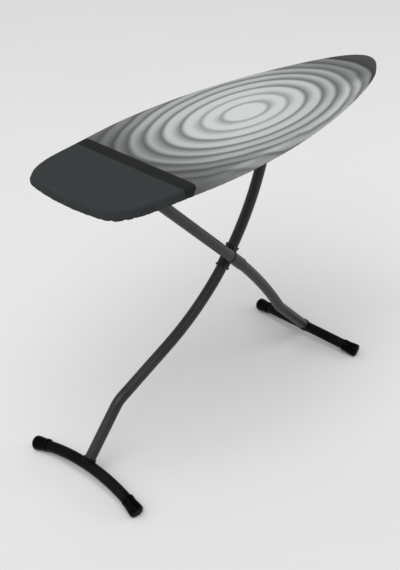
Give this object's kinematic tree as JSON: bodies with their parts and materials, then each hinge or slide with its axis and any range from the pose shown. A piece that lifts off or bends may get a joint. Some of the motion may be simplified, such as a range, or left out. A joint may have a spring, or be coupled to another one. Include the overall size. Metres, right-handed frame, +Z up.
{
  "type": "ironing board",
  "caption": "Covered ironing board on crossed single-tube legs: padded top with a heat-resistant heel panel, perforated steel deck, scissor fold, sprung height release and storage catch.",
  "frame": {"origin": "on the floor, under the middle of the whole object's box", "axes": "+X from the heel (iron rest end) to the nose, +Y to the left side seen from the heel, +Z up"},
  "size_m": [1.3597, 0.476, 0.985],
  "materials": {
    "cover_fabric": "printed woven cotton",
    "panel_fabric": "heat-resistant woven cloth",
    "foam": "foam",
    "felt": "felt",
    "sheet_steel": "satin",
    "frame_steel": "satin powder coat",
    "black_steel": "satin powder coat",
    "foot_rubber": "moulded",
    "black_plastic": "moulded",
    "zinc_steel": "zinc plated",
    "nylon": "natural"
  },
  "bodies": {
    "board": {"cover_fabric": "cover_fabric", "heat_resistant_panel": "panel_fabric", "foam_layer": "foam", "felt_pad": "felt", "perforated_top": "sheet_steel", "rim_heel": "frame_steel", "rim_nose": "frame_steel", "rim_left": "frame_steel", "rim_right": "frame_steel", "rail_left": "frame_steel", "rail_right": "frame_steel", "ledge_left": "frame_steel", "ledge_right": "frame_steel", "brace_heel": "frame_steel", "brace_middle": "frame_steel", "brace_nose": "frame_steel", "brace_rivets": "zinc_steel", "hinge_pin": "zinc_steel", "hinge_pin_clips": "zinc_steel", "lever_bracket": "frame_steel", "lever_pin": "zinc_steel", "lock_spring": "zinc_steel", "catch_bracket": "frame_steel", "catch_pin": "zinc_steel"},
    "front_leg": {"front_leg_tube": "frame_steel", "front_hinge_tube": "frame_steel", "front_leg_weld": "black_steel", "front_pivot_sleeve": "black_plastic", "front_foot_bar": "black_steel", "front_foot_cap_left": "foot_rubber", "front_foot_cap_right": "foot_rubber"},
    "rear_leg": {"rear_leg_tube": "frame_steel", "rear_crossbar": "zinc_steel", "glide_left": "black_plastic", "glide_right": "black_plastic", "rear_leg_weld": "black_steel", "pivot_housing": "black_plastic", "pivot_bolt": "zinc_steel", "pivot_washer": "nylon", "pivot_nut": "zinc_steel", "rear_foot_bar": "black_steel", "rear_foot_cap_left": "foot_rubber", "rear_foot_cap_right": "foot_rubber"},
    "release_lever": {"release_lever": "frame_steel", "lever_grip": "black_plastic"},
    "lock_bolt": {"lock_bolt": "zinc_steel"},
    "storage_catch": {"storage_catch": "black_plastic"}
  },
  "joints": [
    {"name": "fold", "type": "hinge", "parent": "board", "child": "front_leg", "pos_m": [-0.4527, 0, 0.945], "axis": [0, -1, 0], "range_deg": [0, 28]},
    {"name": "scissor", "type": "hinge", "parent": "front_leg", "child": "rear_leg", "pos_m": [-0.0032, 0, 0.501], "axis": [0, 1, 0], "range_deg": [0, 73]},
    {"name": "lever_pull", "type": "hinge", "parent": "board", "child": "release_lever", "pos_m": [0.236, 0.084, 0.96], "axis": [1, 0, 0], "range_deg": [0, 15], "stiffness_Nm_per_rad": 0.4, "springref_deg": -22.92},
    {"name": "lock_draw", "type": "slide", "parent": "board", "child": "lock_bolt", "axis": [0, 1, 0], "range_m": [0, 0.0055]},
    {"name": "catch_swing", "type": "hinge", "parent": "board", "child": "storage_catch", "pos_m": [-0.572, -0.016, 0.956], "axis": [0, 1, 0], "range_deg": [0, 90]}
  ],
  "couplings": [
    {"joint": "scissor", "follows": "fold", "ratio": 2.6},
    {"joint": "lock_draw", "follows": "lever_pull", "m_per_rad": 0.02}
  ]
}
